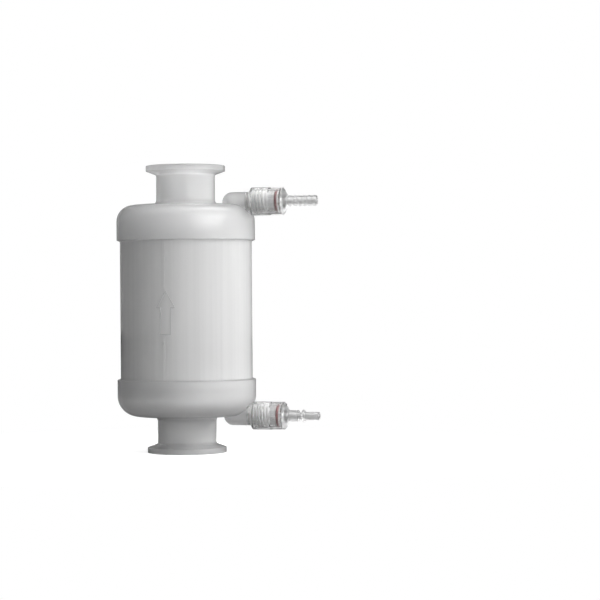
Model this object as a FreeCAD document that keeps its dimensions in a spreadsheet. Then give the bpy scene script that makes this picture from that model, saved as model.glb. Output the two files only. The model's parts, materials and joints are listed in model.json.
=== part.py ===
"""Capsule filter: a pleated cartridge sealed in a moulded housing with clamp ferrules.

Millimetres, +Z up along the capsule. The origin is the centre of the inlet ferrule's face,
on which the capsule stands. Liquid enters at the bottom and leaves at the top. The vent and
drain valves point along +X.
"""
import FreeCAD, Part
import Sketcher
import math
import os
import re

# Driving sizes: each is set here once, in millimetres, degrees or a plain count

SIZES = {
    # Housing, measured inwards from each ferrule's face
    "overall_length": 182.6,
    "ferrule_dia": 50.5,
    "ferrule_rim": 3.4,
    "ferrule_taper": 20,
    "ferrule_edge_round": 0.4,
    "gasket_groove_inset": 3.45,
    "gasket_groove_width": 3.2,
    "gasket_groove_depth": 1.3,
    "neck_bore": 32.0,
    "neck_wall": 2.7,
    "neck_top_round": 1.5,
    "neck_root_round": 3.5,
    "outlet_neck": 25.0,
    "inlet_neck": 23.3,
    "cap_wall": 3.0,
    "outlet_cap_depth": 22.6,
    "inlet_cap_depth": 23.4,
    "outlet_corner": 10.5,
    "inlet_corner": 13.0,
    "skirt_wall": 2.05,
    "skirt_edge_round": 0.5,
    "shell_dia": 84.0,
    "shell_wall": 2.6,
    "outlet_lap": 4.6,
    "inlet_lap": 5.6,
    "weld_gap": 0.05,
    # Cartridge and its seats in the caps
    "socket_step": 1.0,
    "socket_wall": 2.5,
    "socket_depth": 5.0,
    "support_rib_height": 5.0,
    "support_rib_width": 2.0,
    "support_rib_inset": 1.5,
    "support_rib_count": 6,
    "cartridge_gap": 3.9,
    "end_cap_floor": 5.0,
    "end_cap_rim": 1.5,
    "end_cap_rim_height": 5.0,
    "fit_gap": 0.1,
    "cage_wall": 1.5,
    "cage_band": 9.0,
    "cage_slot_width": 3.6,
    "cage_slot_count": 36,
    "core_dia": 28.0,
    "core_wall": 2.0,
    "core_band": 9.0,
    "core_window_width": 4.0,
    "core_window_height": 4.5,
    "core_row_count": 12,
    "core_column_count": 8,
    "pleat_count": 60,
    "support_sheet": 0.2,
    "membrane_sheet": 0.16,
    "pleat_crest_width": 1.7,
    "pleat_valley_gap": 0.12,
    # Valve bosses, moulded on the caps; lengths along a valve count from where its knob starts
    "vent_axis_lift": 1.5,
    "drain_axis_inset": 0.4,
    "boss_wall": 1.4,
    "boss_ball_setback": 11.8,
    "passage_dia": 5.0,
    "passage_offset": 1.5,
    "seat_setback": 3.4,
    "seat_shoulder": 1.0,
    "seat_past_ring": 1.5,
    "seat_bore": 9.0,
    "relief_step": 0.25,
    "land_width": 0.9,
    "end_land_width": 1.0,
    "land_gap": 0.2,
    "body_ring_offset": 18.4,
    "body_ring_cord": 1.8,
    "ring_groove_wall": 0.7,
    "ring_seat_gap": 0.05,
    "ring_groove_slack": 0.2,
    "ring_clearance": 0.1,
    # Valve knobs
    "knob_corner_gap": 0.35,
    "knob_wall": 1.45,
    "knob_lip_length": 1.6,
    "knob_lip_gap": 0.15,
    "grip_offset": 13.2,
    "grip_step": 0.6,
    "grip_rib_height": 0.5,
    "grip_rib_root": 0.3,
    "grip_rib_width": 1.0,
    "grip_rib_count": 10,
    "end_wall": 1.5,
    "nose_length": 2.8,
    "nose_dia": 7.2,
    "stop_gap": 0.1,
    "stem_gap": 1.1,
    "stem_bore": 3.0,
    "stem_head_wall": 0.8,
    "head_gap": 0.2,
    "seat_ring_cord": 1.8,
    "port_dia": 2.4,
    "port_offset": 2.4,
    # Hose barb on the vent, plug-in nipple on the drain
    "barb_ridge_count": 6,
    "barb_pitch": 3.15,
    "barb_root_dia": 5.9,
    "barb_first_dia": 7.4,
    "barb_last_dia": 6.8,
    "nipple_dia": 7.0,
    "nipple_length": 6.1,
    "nipple_groove_dia": 4.4,
    "nipple_groove_width": 1.9,
    "nipple_collar_dia": 7.7,
    "nipple_collar_width": 2.6,
    "nipple_tip_dia": 5.1,
    "nipple_tip_length": 9.0,
    "tip_chamfer": 0.4,
    # How far a cut runs past the wall that it opens
    "cut_overrun": 1.0,
}

doc = FreeCAD.newDocument("CapsuleFilter")
sheet = doc.addObject("Spreadsheet::Sheet", "Sizes")
for row, (alias, number) in enumerate(SIZES.items(), start=1):
    sheet.set(f"A{row}", alias)
    sheet.set(f"B{row}", str(number))
    sheet.setAlias(f"B{row}", alias)
doc.recompute()

# Radii and places that several pieces share, written with the sheet's sizes

NECK_RADIUS = "(neck_bore / 2 + neck_wall)"
LAP_BORE = "(shell_dia / 2 + weld_gap)"
CAP_RADIUS = f"({LAP_BORE} + skirt_wall)"
CAP_BORE = f"({CAP_RADIUS} - cap_wall)"
SOCKET_BORE = "(neck_bore / 2 + socket_step)"
OUTLET_FLOOR = "(outlet_neck + cap_wall)"
INLET_FLOOR = "(inlet_neck + cap_wall)"
OUTLET_EDGE = "(outlet_neck + outlet_cap_depth)"
INLET_EDGE = "(inlet_neck + inlet_cap_depth)"
SHELL_BOTTOM = f"({INLET_EDGE} - inlet_lap)"
SHELL_TOP = f"(overall_length - {OUTLET_EDGE} + outlet_lap)"

CARTRIDGE_BOTTOM = f"({INLET_FLOOR} + support_rib_height)"
CARTRIDGE_TOP = f"(overall_length - {OUTLET_FLOOR} - socket_depth)"
MEDIA_BOTTOM = f"({CARTRIDGE_BOTTOM} + end_cap_floor)"
MEDIA_TOP = f"({CARTRIDGE_TOP} - end_cap_floor)"
CARTRIDGE_RADIUS = "(shell_dia / 2 - shell_wall - cartridge_gap)"
CAGE_RADIUS = f"({CARTRIDGE_RADIUS} - end_cap_rim - fit_gap)"

CHAMBER_RADIUS = "(seat_bore / 2 - seat_shoulder)"
RELIEF_RADIUS = "(seat_bore / 2 + relief_step)"
BOSS_RADIUS = f"({RELIEF_RADIUS} + boss_wall)"
BODY_RING_BED = f"({RELIEF_RADIUS} + ring_groove_wall)"
BODY_RING_RADIUS = f"({BODY_RING_BED} + ring_seat_gap + body_ring_cord / 2)"
BODY_RING_GAP = "((body_ring_cord + ring_groove_slack) / 2)"
KNOB_BORE = f"({BODY_RING_RADIUS} + body_ring_cord / 2 + ring_clearance)"
LAND_RADIUS = f"({KNOB_BORE} - land_gap)"
KNOB_RADIUS = f"({KNOB_BORE} + knob_wall)"
GRIP_RADIUS = f"({KNOB_RADIUS} - grip_step)"
LIP_RADIUS = f"({BOSS_RADIUS} + knob_lip_gap)"
STEM_RADIUS = "(seat_bore / 2 - stem_gap)"
SEAT_RING_RADIUS = "(seat_bore / 2 - ring_clearance - seat_ring_cord / 2)"
SEAT_RING_GAP = "((seat_ring_cord + ring_groove_slack) / 2)"


def valve_places(axis, corner, sink):
    """Height of a valve's axis, and its stations: distances from the capsule's axis.

    The knob starts clear of the cap's rounded corner. Sink is how deep its lip reaches
    past the cap's flat face.
    """
    start = f"({CAP_RADIUS} - {corner} + sqrt({corner} ^ 2 - ({corner} - {sink}) ^ 2) + knob_corner_gap)"
    seat = f"({start} - seat_setback)"
    seat_ring = f"({seat} + seat_shoulder + head_gap + stem_head_wall + {SEAT_RING_GAP})"
    body_ring = f"({start} + body_ring_offset)"
    spigot_end = f"({body_ring} + {BODY_RING_GAP} + end_land_width)"
    shoulder = f"({spigot_end} + stop_gap + end_wall)"
    return {
        "axis": axis,
        "start": start,
        "ball": f"({start} - boss_ball_setback)",
        "seat": seat,
        "seat_ring": seat_ring,
        "seat_end": f"({seat_ring} + seat_past_ring)",
        "stem_head": f"({seat_ring} + {SEAT_RING_GAP} + stem_head_wall)",
        "body_ring": body_ring,
        "spigot_end": spigot_end,
        "grip": f"({start} + grip_offset)",
        "shoulder": shoulder,
        "nose": f"({shoulder} + nose_length)",
    }


VENT = valve_places("(overall_length - outlet_neck + vent_axis_lift)", "outlet_corner",
                    f"({LIP_RADIUS} - vent_axis_lift)")
DRAIN = valve_places("(inlet_neck + drain_axis_inset)", "inlet_corner",
                     f"({LIP_RADIUS} + drain_axis_inset)")


def sized(text):
    """The expression with the sheet's name before each alias."""
    return re.sub("[a-z_]+", lambda word: "Sizes." + word[0] if word[0] in SIZES else word[0], str(text))


def value(text):
    """The number that an expression of sizes gives."""
    return float(sheet.evalExpression(sized(text)))


def bind(item, name, text):
    """Tie a property or a constraint to an expression of sizes."""
    item.setExpression(name, sized(text))


def origin_item(body, role):
    """One of a body's own origin planes or axes."""
    return next(item for item in body.Origin.OriginFeatures if item.Role == role)


def new_body(label):
    body = doc.addObject("PartDesign::Body", label)
    body.Label = label
    return body


def new_sketch(body, name, role="XZ_Plane", along="0", up="0", across="0"):
    """A sketch on an origin plane, moved along its own directions and its normal."""
    sketch = body.newObject("Sketcher::SketchObject", name)
    sketch.AttachmentSupport = (origin_item(body, role), [""])
    sketch.MapMode = "FlatFace"
    bind(sketch, "AttachmentOffset.Base.x", along)
    bind(sketch, "AttachmentOffset.Base.y", up)
    bind(sketch, "AttachmentOffset.Base.z", across)
    doc.recompute()
    return sketch


def arc_between(start, end, radius, side):
    """The short arc from start to end; its centre is left (+1) or right (-1) of the way."""
    chord = end - start
    left = FreeCAD.Vector(-chord.y, chord.x, 0).normalize()
    rise = math.sqrt(max(radius ** 2 - chord.Length ** 2 / 4, 0))
    centre = (start + end) / 2 + left * side * rise
    first, last = (start, end) if side > 0 else (end, start)
    angle_from = math.atan2(first.y - centre.y, first.x - centre.x)
    angle_to = math.atan2(last.y - centre.y, last.x - centre.x)
    if angle_to < angle_from:
        angle_to += 2 * math.pi
    circle = Part.Circle(centre, FreeCAD.Vector(0, 0, 1), radius)
    return Part.ArcOfCircle(circle, angle_from, angle_to)


def draw(sketch, points):
    """Add a closed outline to a sketch and tie every point to the sheet.

    A point is (x, y). One that an arc leads to is (x, y, radius, side).
    """
    spots = [FreeCAD.Vector(value(point[0]), value(point[1]), 0) for point in points]
    first = sketch.GeometryCount
    ends = []
    for index, point in enumerate(points):
        start, end = spots[index - 1], spots[index]
        if len(point) == 2:
            sketch.addGeometry(Part.LineSegment(start, end), False)
            ends.append((1, 2))
        else:
            radius, side = point[2], point[3]
            sketch.addGeometry(arc_between(start, end, value(radius), side), False)
            ends.append((1, 2) if side > 0 else (2, 1))
    for index, point in enumerate(points):
        here, after = first + index, first + (index + 1) % len(points)
        leave, arrive = ends[index][1], ends[(index + 1) % len(points)][0]
        sketch.addConstraint(Sketcher.Constraint("Coincident", here, leave, after, arrive))
        spot = spots[index]
        for kind, place, text in (("DistanceX", spot.x, point[0]), ("DistanceY", spot.y, point[1])):
            number = sketch.addConstraint(Sketcher.Constraint(kind, -1, 1, here, leave, place))
            bind(sketch, f"Constraints[{number}]", text)
        if len(point) == 4:
            number = sketch.addConstraint(Sketcher.Constraint("Radius", here, value(point[2])))
            bind(sketch, f"Constraints[{number}]", point[2])


def draw_box(sketch, left, right, low, high):
    draw(sketch, [(left, low), (right, low), (right, high), (left, high)])


def draw_circle(sketch, x, y, radius):
    centre = FreeCAD.Vector(value(x), value(y), 0)
    here = sketch.addGeometry(Part.Circle(centre, FreeCAD.Vector(0, 0, 1), value(radius)), False)
    for kind, place, text in (("DistanceX", centre.x, x), ("DistanceY", centre.y, y)):
        number = sketch.addConstraint(Sketcher.Constraint(kind, -1, 1, here, 3, place))
        bind(sketch, f"Constraints[{number}]", text)
    number = sketch.addConstraint(Sketcher.Constraint("Radius", here, value(radius)))
    bind(sketch, f"Constraints[{number}]", radius)


def revolve(body, sketch, axis="V_Axis", cut=False):
    """Turn an outline once round an axis of its sketch, adding or cutting."""
    kind = "PartDesign::Groove" if cut else "PartDesign::Revolution"
    before = body.Shape.Volume if cut else 0
    feature = body.newObject(kind, sketch.Name + "Turn")
    feature.Profile = sketch
    feature.ReferenceAxis = (sketch, [axis])
    feature.Angle = 360
    doc.recompute()
    if cut and body.Shape.Volume >= before:
        raise RuntimeError(feature.Name + " cuts nothing")
    return feature


def pad(body, sketch, length, both_ways=False):
    feature = body.newObject("PartDesign::Pad", sketch.Name + "Pad")
    feature.Profile = sketch
    feature.SideType = "Symmetric" if both_ways else "One side"
    bind(feature, "Length", length)
    doc.recompute()
    return feature


def pocket(body, sketch, length, both_ways=False, reverse=False):
    """Cut an outline out of the body and make sure that it cuts."""
    before = body.Shape.Volume
    feature = body.newObject("PartDesign::Pocket", sketch.Name + "Cut")
    feature.Profile = sketch
    feature.SideType = "Symmetric" if both_ways else "One side"
    feature.Reversed = reverse
    bind(feature, "Length", length)
    doc.recompute()
    if body.Shape.Volume >= before:
        raise RuntimeError(feature.Name + " cuts nothing")
    return feature


def spread(body, feature, axis, count):
    """Repeat a feature all the way round an axis."""
    pattern = body.newObject("PartDesign::PolarPattern", feature.Name + "Ring")
    pattern.Originals = [feature]
    pattern.Axis = axis
    pattern.Angle = 360
    bind(pattern, "Occurrences", count)
    body.Tip = pattern
    doc.recompute()


def ring_edges(body, circles):
    """Names of the full-circle edges about Z that have these radii and heights."""
    wanted = [(value(radius), value(height)) for radius, height in circles]
    names = []
    for number, edge in enumerate(body.Shape.Edges, start=1):
        if not isinstance(edge.Curve, Part.Circle):
            continue
        centre = edge.Curve.Center
        if math.hypot(centre.x, centre.y) > 0.001:
            continue
        for radius, height in wanted:
            if abs(edge.Curve.Radius - radius) < 0.001 and abs(centre.z - height) < 0.001:
                names.append(f"Edge{number}")
    if len(names) < len(wanted):
        raise RuntimeError(body.Label + ": an edge to round is missing")
    return names


def fillet(body, name, radius, edges):
    base = body.Tip
    feature = body.newObject("PartDesign::Fillet", name)
    feature.Base = (base, edges)
    bind(feature, "Radius", radius)
    doc.recompute()
    if "Invalid" in feature.State:
        raise RuntimeError(name + " does not round its edges")
    return feature


# Housing: a tubular shell and two lap-welded caps, each with a ferrule and a valve boss


def make_shell():
    body = new_body("shell")
    sketch = new_sketch(body, "ShellRing", "XY_Plane", across=SHELL_BOTTOM)
    draw_circle(sketch, "0", "0", "shell_dia / 2")
    draw_circle(sketch, "0", "0", "shell_dia / 2 - shell_wall")
    pad(body, sketch, f"{SHELL_TOP} - {SHELL_BOTTOM}")


def cap_blank(label, face, inward, neck, depth, corner, lap, socket):
    """A turned cap with its ferrule. Face is its ferrule face's height, inward is + or -."""
    body = new_body(label)
    neck_start = f"(ferrule_rim + (ferrule_dia / 2 - {NECK_RADIUS}) * tan(ferrule_taper))"
    groove = "ferrule_dia / 2 - gasket_groove_inset"
    half = "gasket_groove_width / 2"
    groove_radius = "((gasket_groove_width ^ 2 / 4 + gasket_groove_depth ^ 2) / (2 * gasket_groove_depth))"
    floor = f"({neck} + cap_wall)"
    edge = f"({neck} + {depth})"
    end = f"({edge} - {lap})"
    outline = [
        ("neck_bore / 2", "0"),
        (f"{groove} - {half}", "0"),
        (f"{groove} + {half}", "0", groove_radius, 1 if inward == "-" else -1),
        ("ferrule_dia / 2", "0"),
        ("ferrule_dia / 2", "ferrule_rim"),
        (NECK_RADIUS, neck_start),
        (NECK_RADIUS, neck),
        (CAP_RADIUS, neck),
        (CAP_RADIUS, edge),
        (LAP_BORE, edge),
        (LAP_BORE, end),
        (CAP_BORE, end),
        (CAP_BORE, floor),
    ]
    if socket:
        # A socket round the neck's bore holds the cartridge's spigot
        outline += [
            (f"{SOCKET_BORE} + socket_wall", floor),
            (f"{SOCKET_BORE} + socket_wall", f"{floor} + socket_depth"),
            (SOCKET_BORE, f"{floor} + socket_depth"),
            (SOCKET_BORE, floor),
        ]
    outline.append(("neck_bore / 2", floor))
    placed = [(point[0], f"{face} {inward} ({point[1]})") + point[2:] for point in outline]
    sketch = new_sketch(body, label + "_profile")
    draw(sketch, placed)
    revolve(body, sketch)

    def at(height):
        return f"{face} {inward} ({height})"

    rounds = (
        ("Corner", corner, [(CAP_RADIUS, at(neck))]),
        ("InnerCorner", f"{corner} - cap_wall", [(CAP_BORE, at(floor))]),
        ("NeckRoot", "neck_root_round", [(NECK_RADIUS, at(neck))]),
        ("NeckTop", "neck_top_round", [(NECK_RADIUS, at(neck_start))]),
        ("Rim", "ferrule_edge_round",
         [("ferrule_dia / 2", at("0")), ("ferrule_dia / 2", at("ferrule_rim"))]),
        ("Skirt", "skirt_edge_round", [(CAP_RADIUS, at(edge))]),
    )
    for name, radius, circles in rounds:
        fillet(body, label + name, radius, ring_edges(body, circles))
    return body


def add_boss(body, valve, into_cap):
    """The round-ended valve boss, its stepped bore and the passage into the housing."""
    axis, ball, end = valve["axis"], valve["ball"], valve["spigot_end"]
    groove_start = f"{valve['body_ring']} - {BODY_RING_GAP}"
    groove_end = f"{valve['body_ring']} + {BODY_RING_GAP}"
    boss = new_sketch(body, body.Label + "_boss", up=axis)
    draw(boss, [
        (f"{ball} - {BOSS_RADIUS}", "0"),
        (ball, BOSS_RADIUS, BOSS_RADIUS, -1),
        (f"{groove_start} - land_width", BOSS_RADIUS),
        (f"{groove_start} - land_width", LAND_RADIUS),
        (groove_start, LAND_RADIUS),
        (groove_start, BODY_RING_BED),
        (groove_end, BODY_RING_BED),
        (groove_end, LAND_RADIUS),
        (end, LAND_RADIUS),
        (end, "0"),
    ])
    revolve(body, boss, "H_Axis")
    bore = new_sketch(body, body.Label + "_bore", up=axis)
    draw(bore, [
        (f"{ball} - {CHAMBER_RADIUS}", "0"),
        (ball, CHAMBER_RADIUS, CHAMBER_RADIUS, -1),
        (valve["seat"], CHAMBER_RADIUS),
        (f"{valve['seat']} + seat_shoulder", "seat_bore / 2"),
        (valve["seat_end"], "seat_bore / 2"),
        (f"{valve['seat_end']} + relief_step", RELIEF_RADIUS),
        (f"{end} + cut_overrun", RELIEF_RADIUS),
        (f"{end} + cut_overrun", "0"),
    ])
    revolve(body, bore, "H_Axis", cut=True)
    passage = new_sketch(body, body.Label + "_passage", "XY_Plane", across=axis)
    draw_circle(passage, f"{ball} + passage_offset", "0", "passage_dia / 2")
    pocket(body, passage, f"{BOSS_RADIUS} + cap_wall", reverse=into_cap == "up")


def make_outlet_cap():
    body = cap_blank("outlet_cap", "overall_length", "-", "outlet_neck", "outlet_cap_depth",
                     "outlet_corner", "outlet_lap", socket=True)
    add_boss(body, VENT, "down")


def make_inlet_cap():
    body = cap_blank("inlet_cap", "0", "+", "inlet_neck", "inlet_cap_depth",
                     "inlet_corner", "inlet_lap", socket=False)
    rib = new_sketch(body, "SupportRib", "YZ_Plane")
    rib_foot = f"{INLET_FLOOR} - cap_wall / 2"
    draw_box(rib, "neck_bore / 2 + support_rib_inset", f"{CARTRIDGE_RADIUS} - support_rib_inset",
             rib_foot, CARTRIDGE_BOTTOM)
    feature = pad(body, rib, "support_rib_width", both_ways=True)
    spread(body, feature, (origin_item(body, "Z_Axis"), [""]), "support_rib_count")
    add_boss(body, DRAIN, "up")


# Cartridge: end caps, cage, core and the three pleated sheets between them


def make_end_cap(label, floor_from, floor_to, rim_to, spigot):
    """A disc with a raised rim that holds the cage, the pleats and the core."""
    body = new_body(label)
    rim = CARTRIDGE_RADIUS
    core_bore = "(core_dia / 2 - core_wall)"
    inner = core_bore if spigot else "0"
    outline = [
        (rim, floor_from),
        (rim, rim_to),
        (f"{rim} - end_cap_rim", rim_to),
        (f"{rim} - end_cap_rim", floor_to),
        (inner, floor_to),
    ]
    if spigot:
        top = f"{floor_from} + socket_depth - fit_gap"
        outside = f"{SOCKET_BORE} - fit_gap"
        outline += [(inner, top), (outside, top), (outside, floor_from)]
    else:
        outline.append((inner, floor_from))
    sketch = new_sketch(body, label + "_profile")
    draw(sketch, outline)
    revolve(body, sketch)


def make_tube(body, radius, wall):
    """The plain tube of a cage or a core, as long as the pleats."""
    ring = new_sketch(body, body.Label + "_ring", "XY_Plane", across=MEDIA_BOTTOM)
    draw_circle(ring, "0", "0", radius)
    draw_circle(ring, "0", "0", f"{radius} - {wall}")
    pad(body, ring, f"{MEDIA_TOP} - {MEDIA_BOTTOM}")


def make_cage():
    """A sleeve of upright bars between two plain bands."""
    body = new_body("cage")
    make_tube(body, CAGE_RADIUS, "cage_wall")
    half = "cage_slot_width / 2"
    slot = new_sketch(body, "cage_slot", across=f"{CAGE_RADIUS} - cage_wall - cut_overrun")
    draw_box(slot, f"-{half}", half, f"{MEDIA_BOTTOM} + cage_band", f"{MEDIA_TOP} - cage_band")
    cut = pocket(body, slot, "cage_wall + 2 * cut_overrun", reverse=True)
    spread(body, cut, (origin_item(body, "Z_Axis"), [""]), "cage_slot_count")


def make_core():
    """The inner tube that carries the pleats, with rows of windows."""
    body = new_body("core")
    make_tube(body, "core_dia / 2", "core_wall")
    half = "core_window_width / 2"
    pitch = f"(({MEDIA_TOP} - {MEDIA_BOTTOM} - 2 * core_band - core_window_height) / (core_row_count - 1))"
    column = new_sketch(body, "core_windows", across="core_dia / 2 - core_wall - cut_overrun")
    for index in range(int(value("core_row_count"))):
        low = f"{MEDIA_BOTTOM} + core_band + {index} * {pitch}"
        draw_box(column, f"-{half}", half, low, f"{low} + core_window_height")
    cut = pocket(body, column, "core_wall + 2 * cut_overrun", reverse=True)
    spread(body, cut, (origin_item(body, "Z_Axis"), [""]), "core_column_count")


def pleat_wire(offset):
    """The zigzag ring that lies this far below the pack's upstream face.

    Each pleat has a flat crest near the cage and a flat valley near the core. Going deeper
    into the pack, crests get narrower and valleys wider, so that every sheet keeps its thickness.
    """
    count = int(value("pleat_count"))
    depth = value("2 * support_sheet + membrane_sheet")
    crest_radius = value(f"{CAGE_RADIUS} - cage_wall - fit_gap") - offset
    valley_radius = value("core_dia / 2 + fit_gap") + depth - offset
    half_pitch = math.pi / count
    crest_turn = (value("pleat_crest_width / 2") - offset) / crest_radius
    valley_turn = half_pitch - (value("pleat_valley_gap / 2") + offset) / valley_radius
    corners = ((crest_radius, -crest_turn), (crest_radius, crest_turn),
               (valley_radius, valley_turn), (valley_radius, 2 * half_pitch - valley_turn))
    height = value(MEDIA_BOTTOM)
    points = []
    for index in range(count):
        for radius, turn in corners:
            angle = 2 * half_pitch * index + turn
            points.append(FreeCAD.Vector(radius * math.cos(angle), radius * math.sin(angle), height))
    return Part.makePolygon(points + points[:1])


def make_pleated_sheet(label, offset, thickness):
    """One sheet of the pleat pack, folded with its neighbours and lying against them."""
    outer = pleat_wire(value(offset))
    inner = pleat_wire(value(f"{offset} + {thickness}"))
    section = Part.Face(outer).cut(Part.Face(inner))
    length = value(f"{MEDIA_TOP} - {MEDIA_BOTTOM}")
    sheet_piece = doc.addObject("Part::Feature", label)
    sheet_piece.Label = label
    sheet_piece.Shape = section.extrude(FreeCAD.Vector(0, 0, length))


# Valves: a clear knob that screws along the boss, a sealing ring on its stem, a ring on the boss


def barb_outline(nose):
    """Points along the hose barb, from the knob's nose to its rounded tip."""
    points = [(nose, "barb_root_dia / 2")]
    for index in range(int(value("barb_ridge_count"))):
        share = f"{index} / (barb_ridge_count - 1)"
        ridge = f"(barb_first_dia + (barb_last_dia - barb_first_dia) * {share}) / 2"
        start = f"{nose} + {index} * barb_pitch"
        points.append((f"{start} + barb_pitch / 2", ridge))
        points.append((f"{start} + barb_pitch", "barb_root_dia / 2"))
    points.append((f"{nose} + barb_ridge_count * barb_pitch", "stem_bore / 2"))
    return points


def nipple_outline(nose):
    """Points along the plug-in nipple: shank, groove, collar and tip."""
    groove = f"({nose} + nipple_length)"
    collar = f"({groove} + nipple_groove_width)"
    tip = f"({collar} + nipple_collar_width)"
    end = f"({tip} + nipple_tip_length)"
    return [
        (nose, "nipple_dia / 2"),
        (groove, "nipple_dia / 2"),
        (groove, "nipple_groove_dia / 2"),
        (collar, "nipple_groove_dia / 2"),
        (f"{collar} + nipple_collar_width / 3", "nipple_collar_dia / 2"),
        (f"{collar} + nipple_collar_width * 2 / 3", "nipple_collar_dia / 2"),
        (tip, "nipple_tip_dia / 2"),
        (f"{end} - tip_chamfer", "nipple_tip_dia / 2"),
        (end, "nipple_tip_dia / 2 - tip_chamfer"),
        (end, "stem_bore / 2"),
    ]


def make_knob(label, valve, tip_outline):
    """Sleeve, end wall, inner stem and hose end, moulded as one clear piece."""
    body = new_body(label)
    axis, start, stem_head, end = (valve[name] for name in ("axis", "start", "stem_head", "spigot_end"))
    groove_start = f"{valve['seat_ring']} - {SEAT_RING_GAP}"
    groove_end = f"{valve['seat_ring']} + {SEAT_RING_GAP}"
    groove = f"({SEAT_RING_RADIUS} - seat_ring_cord / 2 - ring_clearance)"
    head = "(seat_bore / 2 - 2 * ring_clearance)"
    sketch = new_sketch(body, label + "_profile", up=axis)
    draw(sketch, [
        (stem_head, "0"),
        (f"{groove_start} - stem_head_wall", "0"),
        (f"{groove_start} - stem_head_wall", head),
        (groove_start, head),
        (groove_start, groove),
        (groove_end, groove),
        (groove_end, head),
        (stem_head, head),
        (f"{stem_head} + {head} - {STEM_RADIUS}", STEM_RADIUS),
        (f"{end} + stop_gap", STEM_RADIUS),
        (f"{end} + stop_gap", KNOB_BORE),
        (f"{start} + knob_lip_length + {KNOB_BORE} - {LIP_RADIUS}", KNOB_BORE),
        (f"{start} + knob_lip_length", LIP_RADIUS),
        (start, LIP_RADIUS),
        (f"{start} + knob_lip_length", KNOB_RADIUS),
        (valve["grip"], KNOB_RADIUS),
        (f"{valve['grip']} + grip_step", GRIP_RADIUS),
        (valve["shoulder"], GRIP_RADIUS),
        (valve["nose"], "nose_dia / 2"),
        *tip_outline,
        (f"{stem_head} + stem_bore / 2", "stem_bore / 2"),
    ])
    revolve(body, sketch, "H_Axis")

    rib = new_sketch(body, label + "_rib", "YZ_Plane", up=axis, across=valve["grip"])
    draw_box(rib, "-grip_rib_width / 2", "grip_rib_width / 2",
             f"{GRIP_RADIUS} - grip_rib_root", f"{GRIP_RADIUS} + grip_rib_height")
    feature = pad(body, rib, f"{valve['shoulder']} - {valve['grip']}")
    spread(body, feature, (rib, ["N_Axis"]), "grip_rib_count")

    for plane, shift in (("XZ_Plane", {"up": axis}), ("XY_Plane", {"across": axis})):
        port = new_sketch(body, f"{label}_port_{plane[:2]}", plane, **shift)
        draw_circle(port, f"{stem_head} + port_offset", "0", "port_dia / 2")
        pocket(body, port, f"2 * {STEM_RADIUS} + cut_overrun", both_ways=True)


def make_ring(label, axis, station, radius, cord):
    """A sealing ring whose axis lies along the valve."""
    ring = doc.addObject("Part::Torus", label)
    ring.Label = label
    bind(ring, "Radius1", radius)
    bind(ring, "Radius2", f"{cord} / 2")
    ring.Placement = FreeCAD.Placement(FreeCAD.Vector(), FreeCAD.Rotation(FreeCAD.Vector(0, 1, 0), 90))
    bind(ring, "Placement.Base.x", station)
    bind(ring, "Placement.Base.z", axis)


make_shell()
make_outlet_cap()
make_inlet_cap()
make_end_cap("open_end_cap", CARTRIDGE_TOP, MEDIA_TOP,
             f"{MEDIA_TOP} - end_cap_rim_height", spigot=True)
make_end_cap("closed_end_cap", CARTRIDGE_BOTTOM, MEDIA_BOTTOM,
             f"{MEDIA_BOTTOM} + end_cap_rim_height", spigot=False)
make_cage()
make_core()
make_pleated_sheet("upstream_support", "0", "support_sheet")
make_pleated_sheet("membrane", "support_sheet", "membrane_sheet")
make_pleated_sheet("downstream_support", "(support_sheet + membrane_sheet)", "support_sheet")
for name, places, outline in (("vent", VENT, barb_outline), ("drain", DRAIN, nipple_outline)):
    make_knob(name + "_knob", places, outline(places["nose"]))
    make_ring(name + "_seat_ring", places["axis"], places["seat_ring"], SEAT_RING_RADIUS, "seat_ring_cord")
    make_ring(name + "_body_ring", places["axis"], places["body_ring"], BODY_RING_RADIUS, "body_ring_cord")

# Every object is recomputed, tested and written to its own file

doc.recompute()
for item in doc.Objects:
    if "Invalid" in item.State or "Error" in item.State:
        raise RuntimeError(f"{item.Label} did not build: {item.State}")

PIECE_TYPES = ("PartDesign::Body", "Part::Torus", "Part::Feature")
pieces = [item for item in doc.Objects if item.TypeId in PIECE_TYPES]
for piece in pieces:
    if piece.Shape.isNull() or not piece.Shape.isValid() or len(piece.Shape.Solids) != 1:
        raise RuntimeError(piece.Label + " is not one valid solid")

os.makedirs("parts", exist_ok=True)
for piece in pieces:
    piece.Shape.exportStep(f"parts/{piece.Label}.step")
    print(f"{piece.Label}: {piece.Shape.Volume:.0f} mm3")
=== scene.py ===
"""Looks of a capsule filter: milky housing, clear screw valves, brick-red rings, white cartridge."""
import json
import math

import bpy
from mathutils import Matrix, Vector


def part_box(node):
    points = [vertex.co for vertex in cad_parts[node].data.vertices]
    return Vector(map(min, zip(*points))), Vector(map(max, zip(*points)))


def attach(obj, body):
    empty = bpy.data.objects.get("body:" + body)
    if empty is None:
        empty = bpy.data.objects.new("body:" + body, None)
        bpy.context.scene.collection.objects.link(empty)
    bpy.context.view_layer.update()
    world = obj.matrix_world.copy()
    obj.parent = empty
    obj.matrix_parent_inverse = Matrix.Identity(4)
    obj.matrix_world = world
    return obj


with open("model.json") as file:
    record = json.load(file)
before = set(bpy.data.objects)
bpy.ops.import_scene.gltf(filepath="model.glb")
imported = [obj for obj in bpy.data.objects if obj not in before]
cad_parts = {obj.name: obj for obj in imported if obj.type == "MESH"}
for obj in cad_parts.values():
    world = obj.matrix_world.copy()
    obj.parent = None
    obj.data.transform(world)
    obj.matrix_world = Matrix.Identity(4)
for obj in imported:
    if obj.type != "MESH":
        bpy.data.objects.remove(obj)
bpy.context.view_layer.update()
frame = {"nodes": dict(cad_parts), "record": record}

MM = 0.001
QUARTER_TURN = math.radians(90)
FULL_TURN = 2 * math.pi
ORIGIN = (0.0, 0.0, 0.0)
UPWARDS = (0.0, 0.0, 1.0)

# Sizes and places read from the frame

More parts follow.
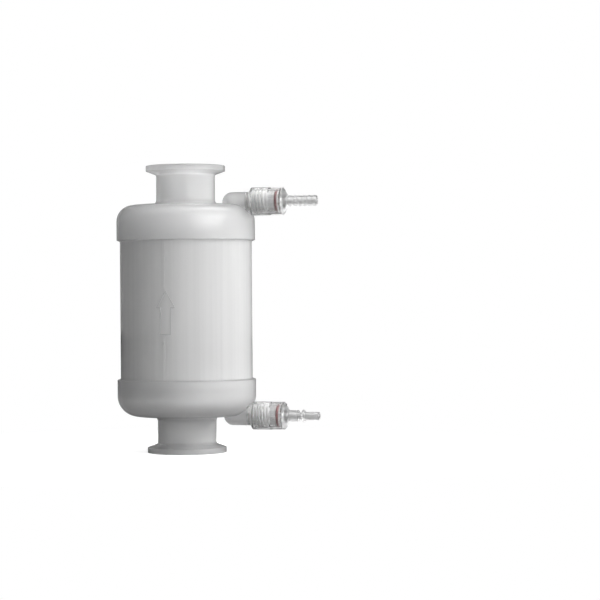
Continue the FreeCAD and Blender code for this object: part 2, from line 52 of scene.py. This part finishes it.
SHELL_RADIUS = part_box("shell")[1].x
LOWER_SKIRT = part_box("inlet_cap")[1].z
UPPER_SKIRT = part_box("outlet_cap")[0].z


def knob_place(name):
    """Where a valve's knob starts along X, and how high its axis lies."""
    low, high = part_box(name + "_knob")
    return {"start": low.x, "height": (low.z + high.z) / 2}


KNOBS = {name: knob_place(name) for name in ("vent", "drain")}

# Camera: level, a little to the valves' side, the capsule left of the picture's middle

CAMERA_DISTANCE = 1.3
CAMERA_HEIGHT = 0.0966
CAMERA_TURN = math.radians(18.0)
AIM_RIGHT = math.radians(3.2)
CAMERA_ROLL = math.radians(-0.42)
LENS = 122.0
SENSOR_WIDTH = 36.0
NEAREST = 0.05
FURTHEST = 20.0


def make_camera():
    data = bpy.data.cameras.new("camera")
    data.lens = LENS
    data.sensor_width = SENSOR_WIDTH
    data.clip_start = NEAREST
    data.clip_end = FURTHEST
    camera = bpy.data.objects.new("camera", data)
    bpy.context.scene.collection.objects.link(camera)
    away = Vector((math.sin(CAMERA_TURN), -math.cos(CAMERA_TURN), 0.0)) * CAMERA_DISTANCE
    camera.location = away + Vector((0.0, 0.0, CAMERA_HEIGHT))
    level = Matrix.Rotation(CAMERA_TURN - AIM_RIGHT, 4, "Z") @ Matrix.Rotation(QUARTER_TURN, 4, "X")
    camera.rotation_euler = (level @ Matrix.Rotation(CAMERA_ROLL, 4, "Z")).to_euler()
    bpy.context.scene.camera = camera


# Shader building


def grey(level):
    return (level, level, level)


def opaque(colour):
    return (*colour, 1.0)


PURE_WHITE = opaque(grey(1.0))


class Shader:
    """A node tree under construction: add nodes, fill their sockets, blend them."""

    def __init__(self, tree):
        self.tree = tree

    def fill(self, socket, content):
        """Link a socket to another, or set it to a plain value."""
        if isinstance(content, bpy.types.NodeSocket):
            self.tree.links.new(content, socket)
        else:
            socket.default_value = content

    def put(self, node, name, content):
        self.fill(node.inputs[name], content)

    def node(self, kind, **inputs):
        """A node whose inputs are named with underscores for spaces."""
        node = self.tree.nodes.new(kind)
        for name, content in inputs.items():
            self.put(node, name.replace("_", " "), content)
        return node

    def math(self, operation, *contents):
        node = self.node("ShaderNodeMath")
        node.operation = operation
        for socket, content in zip(node.inputs, contents):
            self.fill(socket, content)
        return node.outputs["Value"]

    def vectors(self, operation, *contents):
        """A node of vector maths, some of whose operations give a vector and others a value."""
        node = self.node("ShaderNodeVectorMath")
        node.operation = operation
        for socket, content in zip(node.inputs, contents):
            self.fill(socket, content)
        return node

    def ramp(self, content, start, end, low=0.0, high=1.0):
        """From low at start to high at end, and level beyond them."""
        node = self.node("ShaderNodeMapRange", Value=content, From_Min=start, From_Max=end,
                         To_Min=low, To_Max=high)
        return node.outputs["Result"]

    def blend(self, share, first, second):
        """A mix of two shaders: the first where the share is 0, the second where it is 1."""
        mix = self.node("ShaderNodeMixShader", Fac=share)
        self.fill(mix.inputs[1], first)
        self.fill(mix.inputs[2], second)
        return mix.outputs["Shader"]


def new_material(name):
    material = bpy.data.materials.new(name)
    material.use_nodes = True
    material.node_tree.nodes.clear()
    return material, Shader(material.node_tree)


FLOW_DETAIL = 4.0
RIPPLE_DETAIL = 2.0
RIPPLE_DEPTH = 0.4 * MM


def moulded_surface_group():
    """Faint flow marks and ripple of an injection moulding: a mask and a normal. Upright under 1 draws
    the marks out into upright streaks."""
    tree = bpy.data.node_groups.new("moulded_surface", "ShaderNodeTree")
    for name in ("Ripple Size", "Ripple", "Mottle Size", "Upright"):
        tree.interface.new_socket(name, in_out="INPUT", socket_type="NodeSocketFloat")
    tree.interface.new_socket("Mottle", in_out="OUTPUT", socket_type="NodeSocketFloat")
    tree.interface.new_socket("Normal", in_out="OUTPUT", socket_type="NodeSocketVector")
    shader = Shader(tree)
    taken = shader.node("NodeGroupInput").outputs
    place = shader.node("ShaderNodeTexCoord").outputs["Object"]
    upright = shader.node("ShaderNodeCombineXYZ", X=1.0, Y=1.0, Z=taken["Upright"])
    drawn = shader.vectors("MULTIPLY", place, upright.outputs["Vector"]).outputs["Vector"]
    mottle = shader.node("ShaderNodeTexNoise", Vector=drawn, Scale=taken["Mottle Size"], Detail=FLOW_DETAIL)
    ripple = shader.node("ShaderNodeTexNoise", Vector=place, Scale=taken["Ripple Size"],
                         Detail=RIPPLE_DETAIL)
    bump = shader.node("ShaderNodeBump", Strength=taken["Ripple"], Distance=RIPPLE_DEPTH,
                       Height=ripple.outputs["Fac"])
    shader.node("NodeGroupOutput", Mottle=mottle.outputs["Fac"], Normal=bump.outputs["Normal"])
    return tree


MOULDED = moulded_surface_group()

# Noise scales of the moulded surface, and how far the shell's marks are drawn out

RIPPLE_SIZE = 45.0
MOTTLE_SIZE = 30.0
STREAK_SIZE = 450.0
STREAK_UPRIGHT = 0.01


def moulded(shader, ripple, streaks):
    """The moulded surface placed in a material: its mask and its normal."""
    group = shader.node("ShaderNodeGroup")
    group.node_tree = MOULDED
    shader.put(group, "Ripple Size", RIPPLE_SIZE)
    shader.put(group, "Ripple", ripple)
    shader.put(group, "Mottle Size", STREAK_SIZE if streaks else MOTTLE_SIZE)
    shader.put(group, "Upright", STREAK_UPRIGHT if streaks else 1.0)
    return group.outputs["Mottle"], group.outputs["Normal"]


TINT_START = 0.3
TINT_END = 0.7


def tint(shader, mask, dark, light):
    """A colour that follows the mask from dark to light."""
    ramp = shader.node("ShaderNodeValToRGB", Fac=mask)
    first, last = ramp.color_ramp.elements
    first.color = opaque(dark)
    last.color = opaque(light)
    first.position = TINT_START
    last.position = TINT_END
    return ramp.outputs["Color"]


def lets_light_through(shader, body, share):
    """Let a share of each lamp's light pass, so that what lies behind a milky wall is lit too."""
    seen = shader.node("ShaderNodeLightPath").outputs["Is Shadow Ray"]
    clear = shader.node("ShaderNodeBsdfTransparent", Color=PURE_WHITE)
    return shader.blend(shader.math("MULTIPLY", seen, share), body, clear.outputs["BSDF"])


# Places along X: at the first the knobs end and the barb and the nipple begin, and between the other two
# the spigots' walls are thin about the seat rings

EDGE = 0.3 * MM
KNOB_LENGTH = 23.0 * MM
TIP_START = min(knob["start"] for knob in KNOBS.values()) + KNOB_LENGTH
SEAT_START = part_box("vent_seat_ring")[0].x - EDGE
SEAT_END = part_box("vent_seat_ring")[1].x + EDGE
SPIGOT_REACH = 8.0 * MM


def zone_group():
    """Masks of the barb and nipple beyond the knobs, and of the spigots' walls about the seat rings."""
    tree = bpy.data.node_groups.new("valve_zones", "ShaderNodeTree")
    for name in ("Tip", "Seat"):
        tree.interface.new_socket(name, in_out="OUTPUT", socket_type="NodeSocketFloat")
    shader = Shader(tree)
    place = shader.node("ShaderNodeTexCoord").outputs["Object"]
    axes = shader.node("ShaderNodeSeparateXYZ", Vector=place).outputs
    distances = []
    for knob in KNOBS.values():
        height = shader.math("SUBTRACT", axes["Z"], knob["height"])
        squares = [shader.math("MULTIPLY", side, side) for side in (axes["Y"], height)]
        distances.append(shader.math("SQRT", shader.math("ADD", *squares)))
    near = shader.ramp(shader.math("MINIMUM", *distances), SPIGOT_REACH + EDGE, SPIGOT_REACH)
    within = shader.math("MULTIPLY", shader.ramp(axes["X"], SEAT_START - EDGE, SEAT_START),
                         shader.ramp(axes["X"], SEAT_END + EDGE, SEAT_END))
    shader.node("NodeGroupOutput", Tip=shader.ramp(axes["X"], TIP_START, TIP_START + 4 * EDGE),
                Seat=shader.math("MULTIPLY", near, within))
    return tree


ZONES = zone_group()

# What all the plastics share. The smooth skin mirrors more than plain plastic does.

HAZE_SPREAD = 0.15
PLASTIC_IOR = 1.49
SKIN_IOR = 1.8
SKIN_ROUGHNESS = 0.02


def plastic(name, dark, light, haze, ripple=0.02, transmission=0.0, subsurface=0.0, reach=4.0 * MM,
            coat=0.0, passing=0.0, zone=None, zone_haze=0.0, zone_tone=1.0, streaks=False):
    """A moulded plastic. Haze blurs what shows through it, reach is how far light spreads inside it, coat
    gives the smooth skin, and passing is the share of a lamp's light that it lets through. In its zone the
    haze is another and the colour is multiplied by a tone. Streaks draw its marks out upright."""
    material, shader = new_material(name)
    mottle, normal = moulded(shader, ripple, streaks)
    colour = tint(shader, mottle, dark, light)
    roughness = shader.ramp(mottle, 0.0, 1.0, haze * (1 - HAZE_SPREAD), haze * (1 + HAZE_SPREAD))
    if zone:
        group = shader.node("ShaderNodeGroup")
        group.node_tree = ZONES
        there = group.outputs[zone]
        roughness = shader.math("ADD", roughness, shader.math("MULTIPLY", there, zone_haze - haze))
        toned = shader.vectors("SCALE", colour)
        shader.put(toned, "Scale", shader.math("MULTIPLY_ADD", there, zone_tone - 1.0, 1.0))
        colour = toned.outputs["Vector"]
    body = shader.node("ShaderNodeBsdfPrincipled", Base_Color=colour, Roughness=roughness, Normal=normal,
                       IOR=PLASTIC_IOR, Transmission_Weight=transmission, Subsurface_Weight=subsurface,
                       Subsurface_Scale=reach, Subsurface_Radius=grey(1.0), Coat_Weight=coat,
                       Coat_Roughness=SKIN_ROUGHNESS, Coat_IOR=SKIN_IOR)
    surface = body.outputs["BSDF"]
    if passing:
        surface = lets_light_through(shader, surface, passing)
    shader.node("ShaderNodeOutputMaterial", Surface=surface)
    return material


HOUSING = plastic("natural_polypropylene", grey(0.80), grey(0.84), haze=0.55, transmission=0.8,
                  subsurface=1.0, coat=1.0, passing=0.5, zone="Seat", zone_haze=0.05)
SHELL = plastic("natural_polypropylene_tube", grey(0.84), grey(0.90), haze=0.55, transmission=0.4,
                subsurface=1.0, coat=1.0, passing=0.3, streaks=True)
LINE = plastic("natural_polypropylene_line", grey(0.84), grey(0.88), haze=0.42, subsurface=1.0,
               reach=2.0 * MM)
THREAD = plastic("natural_polypropylene_thread", grey(0.80), grey(0.86), haze=0.42, transmission=0.4,
                 subsurface=1.0, reach=2.0 * MM, passing=0.8)
# The arrow's plastic is coloured darker than the housing's: painted shade that makes the raised line read
# as a dark outline.
ARROW_PAINTED_SHADE = plastic("natural_polypropylene_arrow_painted_shade", grey(0.50), grey(0.56), haze=0.42, subsurface=1.0,
                reach=1.0 * MM)
CLEAR = plastic("clear_plastic", grey(0.95), grey(0.98), haze=0.08, ripple=0.05, transmission=0.96,
                subsurface=1.0, reach=1.0 * MM, passing=0.9, zone="Tip", zone_haze=0.35, zone_tone=0.8)
RED = plastic("red_silicone", (0.10, 0.001, 0.001), (0.13, 0.002, 0.002), haze=0.4, ripple=0.1)
WHITE = plastic("white_polypropylene", grey(0.84), grey(0.90), haze=0.4, ripple=0.1, subsurface=0.3,
                reach=2.0 * MM)
FLEECE = plastic("support_fleece", grey(0.82), grey(0.92), haze=0.85, ripple=0.6)
FILM = plastic("membrane_film", grey(0.88), grey(0.93), haze=0.6, ripple=0.1)

FINISH = {
    "natural_polypropylene": HOUSING,
    "clear_plastic": CLEAR,
    "red_silicone": RED,
    "white_polypropylene": WHITE,
    "support_fleece": FLEECE,
    "membrane_film": FILM,
}


def dress(piece, material):
    piece.data.materials.clear()
    piece.data.materials.append(material)


def dress_nodes():
    for part in frame["record"]["subparts"]:
        dress(frame["nodes"][part["node"]], FINISH[part["material_slot"]])
    dress(frame["nodes"]["shell"], SHELL)


# Modelling by operators

MERGE_DISTANCE = 0.01 * MM
SMOOTH_ANGLE = math.radians(40)


def edit(select=None):
    """Go into edit mode with all or nothing selected, or with the selection as it is."""
    bpy.ops.object.mode_set(mode="EDIT")
    if select:
        bpy.ops.mesh.select_all(action=select)


def leave():
    bpy.ops.object.mode_set(mode="OBJECT")


def pick(piece, wanted):
    """Select the vertices whose place is wanted, and the edges between them."""
    mesh = piece.data
    for vertex in mesh.vertices:
        vertex.select = wanted(vertex.co)
    for edge in mesh.edges:
        edge.select = all(mesh.vertices[index].select for index in edge.vertices)
    for face in mesh.polygons:
        face.select = False


def take_up(piece):
    """Make a piece the only one selected, and the active one."""
    bpy.ops.object.select_all(action="DESELECT")
    piece.select_set(True)
    bpy.context.view_layer.objects.active = piece


def flat_outline(name, across, high, place):
    """An upright rectangle in the XZ plane, its middle at a place."""
    bpy.ops.object.select_all(action="DESELECT")
    bpy.ops.mesh.primitive_plane_add(size=1.0, location=place, rotation=(QUARTER_TURN, 0.0, 0.0))
    piece = bpy.context.object
    piece.name = name
    piece.scale = (across, high, 1.0)
    bpy.ops.object.transform_apply(location=False, rotation=True, scale=True)
    return piece


def drop_face():
    """In edit mode, keep a face's outline and leave out the face."""
    bpy.ops.mesh.select_all(action="SELECT")
    bpy.ops.mesh.delete(type="ONLY_FACE")


def settle(piece, slot, body, material=None):
    """Place into the mesh, doubles merged, faces outwards, dressed and riding on its body."""
    take_up(piece)
    bpy.ops.object.transform_apply(location=True, rotation=True, scale=True)
    edit("SELECT")
    bpy.ops.mesh.remove_doubles(threshold=MERGE_DISTANCE)
    bpy.ops.mesh.normals_make_consistent(inside=False)
    leave()
    bpy.ops.object.shade_smooth_by_angle(angle=SMOOTH_ANGLE)
    dress(piece, material or FINISH[slot])
    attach(piece, body)
    piece.select_set(False)


# Weld flash: a thin bead of melt where each cap's skirt ends on the shell

BEAD_WIDTH = 0.9 * MM
BEAD_HEIGHT = 0.45 * MM
BEAD_ROUNDING = 0.9 * BEAD_HEIGHT
BEAD_SEGMENTS = 3
ROUND_STEPS = 128


def make_weld_bead(name, edge, away):
    """A bead round the shell at a skirt's edge. Away is +1 above the skirt, -1 below it."""
    middle = (SHELL_RADIUS + BEAD_WIDTH / 2, 0.0, edge + away * BEAD_HEIGHT / 2)
    bead = flat_outline(name, BEAD_WIDTH, BEAD_HEIGHT, middle)
    pick(bead, lambda spot: spot.x > 0 and spot.z * away > 0)
    edit()
    bpy.ops.mesh.bevel(offset=BEAD_ROUNDING, segments=BEAD_SEGMENTS, affect="VERTICES")
    drop_face()
    bpy.ops.mesh.select_all(action="SELECT")
    bpy.ops.mesh.spin(steps=ROUND_STEPS, angle=FULL_TURN, center=ORIGIN, axis=UPWARDS)
    leave()
    settle(bead, "natural_polypropylene", "root")


# Mould seam: a shallow flat band down the shell, front and back, left out where the arrow is. The facing
# is its angle about the capsule's axis, in degrees from +X.

SEAM_WIDTH = 1.5 * MM
SEAM_HEIGHT = 0.12 * MM
SEAM_SINK = SEAM_HEIGHT / 2
SEAM_STEPS = 6
FRONT_FACING = -91.3
BACK_FACING = FRONT_FACING + 180


def make_seam(name, facing, low, high):
    turn = SEAM_WIDTH / SHELL_RADIUS
    middle = (SHELL_RADIUS + (SEAM_HEIGHT - SEAM_SINK) / 2, 0.0, (low + high) / 2)
    seam = flat_outline(name, SEAM_HEIGHT + SEAM_SINK, high - low, middle)
    edit("SELECT")
    bpy.ops.mesh.spin(steps=SEAM_STEPS, angle=turn, center=ORIGIN, axis=UPWARDS)
    leave()
    angle = math.radians(facing) + turn / 2
    seam.location = Matrix.Rotation(angle, 3, "Z") @ seam.location
    seam.rotation_euler = (0.0, 0.0, angle)
    settle(seam, "natural_polypropylene", "root", LINE)


# Flow arrow: a thin raised line that points from the inlet to the outlet. Its colour is darker than the
# housing's: painted shade of the raised line.

ARROW_TIP = 102.7 * MM
ARROW_FOOT = 75.9 * MM
ARROW_HEAD = 10.2 * MM
ARROW_WIDTH = 11.7 * MM
ARROW_SHAFT = 6.7 * MM
ARROW_LINE = 0.22 * MM
LINE_ROUNDING = 2
SIDE_STEPS = 8


def arrow_spots():
    """Places round the arrow's outline, across and up, close enough to follow the shell's curve."""
    half, shaft, neck = ARROW_WIDTH / 2, ARROW_SHAFT / 2, ARROW_TIP - ARROW_HEAD
    corners = [(0.0, ARROW_TIP), (half, neck), (shaft, neck), (shaft, ARROW_FOOT),
               (-shaft, ARROW_FOOT), (-shaft, neck), (-half, neck)]
    for corner, following in zip(corners, corners[1:] + corners[:1]):
        for step in range(SIDE_STEPS):
            share = step / SIDE_STEPS
            yield [here + (there - here) * share for here, there in zip(corner, following)]


def make_flow_arrow():
    line = bpy.data.curves.new("flow_arrow", "CURVE")
    line.dimensions = "3D"
    line.bevel_depth = ARROW_LINE
    line.bevel_resolution = LINE_ROUNDING
    path = line.splines.new("POLY")
    spots = list(arrow_spots())
    path.points.add(len(spots) - 1)
    for point, (across, height) in zip(path.points, spots):
        angle = across / SHELL_RADIUS
        point.co = (SHELL_RADIUS * math.sin(angle), -SHELL_RADIUS * math.cos(angle), height, 1.0)
    path.use_cyclic_u = True
    arrow = bpy.data.objects.new("flow_arrow", line)
    bpy.context.scene.collection.objects.link(arrow)
    take_up(arrow)
    bpy.ops.object.convert(target="MESH")
    settle(bpy.context.object, "natural_polypropylene", "root", ARROW_PAINTED_SHADE)


# Threads: two starts on each spigot and inside each knob. Their reach counts from the knob's start: the
# spigot's thread begins where the knob's lip, at its furthest, ends.

THREAD_LEAD = 4.0 * MM
THREAD_STARTS = 2
STEPS_A_TURN = 40
SPIGOT_THREAD = (8.0 * MM, 15.4 * MM)
SPIGOT_RADIUS = 6.15 * MM
SPIGOT_RIDGE = 0.95 * MM
KNOB_THREAD = (5.0 * MM, 12.5 * MM)
KNOB_BORE = 7.4 * MM
KNOB_RIDGE = 0.8 * MM
RIDGE_BASE = 1.1 * MM
RIDGE_CREST = 0.45 * MM
SINK = 0.05 * MM


def wind_ridge(name, knob, reach, root, rise, phase):
    """One start of a thread: a ridge wound right-handed along +X. A rise under 0 stands inwards."""
    first, last = (knob["start"] + distance for distance in reach)
    turns = (last - first) / THREAD_LEAD
    middle = root + rise / 2
    ridge = flat_outline(name, RIDGE_BASE, abs(rise) + 2 * SINK, (0.0, 0.0, middle))
    bpy.ops.object.transform_apply(location=True, rotation=False, scale=False)
    pick(ridge, lambda spot: (spot.z - middle) * rise > 0)
    edit()
    bpy.ops.transform.resize(value=(RIDGE_CREST / RIDGE_BASE, 1.0, 1.0))
    drop_face()
    leave()
    screw = ridge.modifiers.new("Winding", "SCREW")
    screw.axis = "X"
    screw.angle = FULL_TURN * turns
    screw.screw_offset = last - first
    screw.steps = screw.render_steps = int(STEPS_A_TURN * turns)
    screw.use_normal_calculate = False
    bpy.ops.object.modifier_apply(modifier="Winding")
    edit("DESELECT")
    bpy.ops.mesh.select_non_manifold()
    bpy.ops.mesh.fill_holes(sides=0)
    leave()
    ridge.location = (first, 0.0, knob["height"])
    ridge.rotation_euler = (phase, 0.0, 0.0)
    return ridge


def make_valve_threads(valve, knob):
    """The spigot's threads stay with the housing, and the knob's turn with the valve."""
    for start in range(THREAD_STARTS):
        phase = FULL_TURN * start / THREAD_STARTS
        ridge = wind_ridge(f"{valve}_spigot_thread_{start + 1}", knob, SPIGOT_THREAD, SPIGOT_RADIUS,
                           SPIGOT_RIDGE, phase)
        settle(ridge, "natural_polypropylene", "root", THREAD)
        ridge = wind_ridge(f"{valve}_knob_thread_{start + 1}", knob, KNOB_THREAD, KNOB_BORE,
                           -KNOB_RIDGE, phase)
        settle(ridge, "clear_plastic", valve + "_valve")


# Studio: a white backdrop. The room lights the object faintly, and the skin mirrors a share of the white.

ROOM_LEVEL = 0.09
MIRRORED_WHITE = 0.2


def make_world():
    world = bpy.data.worlds.new("studio")
    world.use_nodes = True
    world.node_tree.nodes.clear()
    shader = Shader(world.node_tree)
    seen = shader.node("ShaderNodeLightPath").outputs
    room = shader.node("ShaderNodeBackground", Color=PURE_WHITE, Strength=ROOM_LEVEL)
    white = shader.node("ShaderNodeBackground", Color=PURE_WHITE, Strength=1.0)
    through = shader.math("MAXIMUM", seen["Is Camera Ray"], seen["Is Transmission Ray"])
    share = shader.math("MULTIPLY_ADD", seen["Is Glossy Ray"], MIRRORED_WHITE, through)
    backdrop = shader.blend(share, room.outputs["Background"], white.outputs["Background"])
    shader.node("ShaderNodeOutputWorld", Surface=backdrop)
    bpy.context.scene.world = world


# The floor shows the shadow near the object and pure white further off, and throws back less than it shows

FLOOR_SIZE = 8.0
FLOOR_TONE = 0.9
FLOOR_GLOW = 0.8
FLOOR_BOUNCE = 0.55
SHADOW_REACH = 0.08
SHADOW_END = 0.25


def make_floor():
    bpy.ops.mesh.primitive_plane_add(size=FLOOR_SIZE, location=ORIGIN)
    floor = bpy.context.object
    floor.name = "floor"
    material, shader = new_material("pale_floor")
    seen = shader.node("ShaderNodeLightPath").outputs["Is Camera Ray"]
    diffuse = shader.node("ShaderNodeBsdfDiffuse", Color=opaque(grey(FLOOR_TONE)))
    glow = shader.node("ShaderNodeEmission", Color=PURE_WHITE, Strength=FLOOR_GLOW)
    lit = shader.node("ShaderNodeAddShader")
    shader.fill(lit.inputs[0], diffuse.outputs["BSDF"])
    shader.fill(lit.inputs[1], glow.outputs["Emission"])
    place = shader.node("ShaderNodeTexCoord").outputs["Object"]
    fade = shader.ramp(shader.vectors("LENGTH", place).outputs["Value"], SHADOW_REACH, SHADOW_END)
    white = shader.node("ShaderNodeEmission", Color=PURE_WHITE, Strength=1.0)
    paper = shader.blend(fade, lit.outputs["Shader"], white.outputs["Emission"])
    bounce = shader.node("ShaderNodeBsdfDiffuse", Color=opaque(grey(FLOOR_BOUNCE)))
    shader.node("ShaderNodeOutputMaterial", Surface=shader.blend(seen, bounce.outputs["BSDF"], paper))
    dress(floor, material)


def panel(name, turn, height, distance, width, tall, level, aim_height):
    """A rectangular lamp. Its turn counts from the camera's side to the right, in degrees. Level is its
    brightness."""
    data = bpy.data.lights.new(name, "AREA")
    data.shape = "RECTANGLE"
    data.size = width
    data.size_y = tall
    data.energy = math.pi * level * width * tall
    lamp = bpy.data.objects.new(name, data)
    bpy.context.scene.collection.objects.link(lamp)
    angle = CAMERA_TURN + math.radians(turn)
    lamp.location = (distance * math.sin(angle), -distance * math.cos(angle), height)
    target = Vector((0.0, 0.0, aim_height))
    lamp.rotation_euler = (lamp.location - target).to_track_quat("Z", "Y").to_euler()
    lamp.visible_camera = False
    return lamp


# The window that the skin mirrors at the right: each pane's first and last turn, foot, head and level

WINDOW_DISTANCE = 1.3
WINDOW_PANES = (
    (8.4, 24.6, 0.191, 0.235, 1.1),
    (27.6, 56.0, 0.191, 0.235, 1.1),
    (19.0, 72.0, 0.36, 0.75, 0.5),
)


def window_pane(name, first, last, foot, head, level):
    """A pane upright between two turns and two heights."""
    middle = (foot + head) / 2
    width = 2 * WINDOW_DISTANCE * math.tan(math.radians(last - first) / 2)
    return panel(name, (first + last) / 2, middle, WINDOW_DISTANCE, width, head - foot, level, middle)


def make_lights():
    """Lamps that only the skin mirrors, and then lamps that light the object and no skin mirrors."""
    mirrored = [window_pane(f"window_pane_{index + 1}", *pane) for index, pane in enumerate(WINDOW_PANES)]
    mirrored.append(panel("skylight", turn=92.0, height=1.2, distance=0.585, width=0.6, tall=0.6, level=2.0,
                          aim_height=0.15))
    for lamp in mirrored:
        lamp.visible_diffuse = False
        lamp.visible_transmission = False
    lighting = (
        panel("key_right", turn=45.0, height=0.76, distance=1.08, width=1.1, tall=1.1, level=4.7,
              aim_height=0.09),
        panel("side_wall", turn=105.0, height=0.4, distance=1.3, width=1.0, tall=1.0, level=2.4,
              aim_height=0.09),
        panel("overhead", turn=0.0, height=1.3, distance=0.01, width=0.8, tall=0.8, level=1.8,
              aim_height=0.0),
    )
    for lamp in lighting:
        lamp.visible_glossy = False


bpy.context.scene.view_settings.view_transform = "Standard"
make_camera()
dress_nodes()
make_weld_bead("upper_weld_bead", UPPER_SKIRT, -1)
make_weld_bead("lower_weld_bead", LOWER_SKIRT, 1)
make_seam("front_seam_upper", FRONT_FACING, ARROW_TIP + SEAM_WIDTH, UPPER_SKIRT)
make_seam("front_seam_lower", FRONT_FACING, LOWER_SKIRT, ARROW_FOOT - SEAM_WIDTH)
make_seam("back_seam", BACK_FACING, LOWER_SKIRT, UPPER_SKIRT)
make_flow_arrow()
for valve, knob in KNOBS.items():
    make_valve_threads(valve, knob)
make_world()
make_floor()
make_lights()
